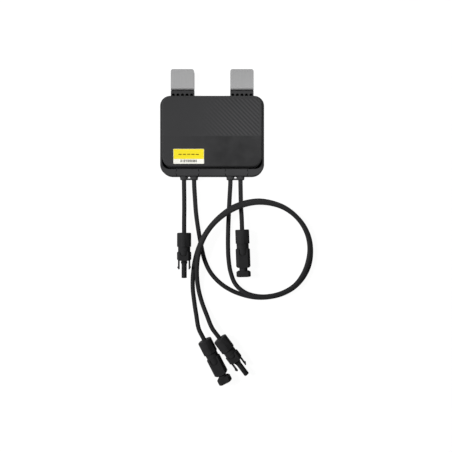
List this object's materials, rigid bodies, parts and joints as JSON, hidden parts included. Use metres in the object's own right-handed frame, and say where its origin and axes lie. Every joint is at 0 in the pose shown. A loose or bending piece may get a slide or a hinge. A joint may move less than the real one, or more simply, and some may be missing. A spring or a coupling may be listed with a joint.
{
  "type": "power optimizer",
  "caption": "Flat moulded power optimizer for a solar panel, with spring clips for the frame, gland entries, and short and long leads ending in latching plugs.",
  "frame": {"origin": "centre of the base's rear face", "axes": "+X across the housing, +Y towards the spring clips, +Z out of the cover"},
  "size_m": [0.2057, 0.4227, 0.0229],
  "materials": {
    "housing_plastic": "moulded",
    "cover_plastic": "moulded, fine grain",
    "plug_plastic": "moulded",
    "clip_steel": "satin",
    "label_film": "printed film",
    "seal_rubber": "matte",
    "lead_jacket": "matte",
    "board_laminate": "solder mask",
    "component_body": "moulded",
    "capacitor_body": "glossy",
    "copper": "bare",
    "contact_metal": "tinned"
  },
  "bodies": {
    "root": {"base_shell": "housing_plastic", "front_cover": "cover_plastic", "cover_seal": "seal_rubber", "label": "label_film", "gland_left": "housing_plastic", "gland_right": "housing_plastic", "clip_left": "clip_steel", "clip_right": "clip_steel", "circuit_board": "board_laminate", "power_inductor": "component_body", "film_capacitors": "capacitor_body", "power_transistors": "component_body", "control_chip": "component_body", "solder_lugs": "copper", "lead_cores": "copper", "short_lead_left": "lead_jacket", "short_lead_right": "lead_jacket", "long_lead_left": "lead_jacket", "long_lead_right": "lead_jacket", "short_left_nut": "plug_plastic", "short_left_seal": "seal_rubber", "short_left_socket_housing": "plug_plastic", "short_left_contact": "contact_metal", "short_left_ring": "seal_rubber", "short_right_nut": "plug_plastic", "short_right_seal": "seal_rubber", "short_right_pin_housing": "plug_plastic", "short_right_contact": "contact_metal", "long_left_nut": "plug_plastic", "long_left_seal": "seal_rubber", "long_left_pin_housing": "plug_plastic", "long_left_contact": "contact_metal", "long_right_nut": "plug_plastic", "long_right_seal": "seal_rubber", "long_right_socket_housing": "plug_plastic", "long_right_contact": "contact_metal", "long_right_ring": "seal_rubber"}
  },
  "joints": []
}
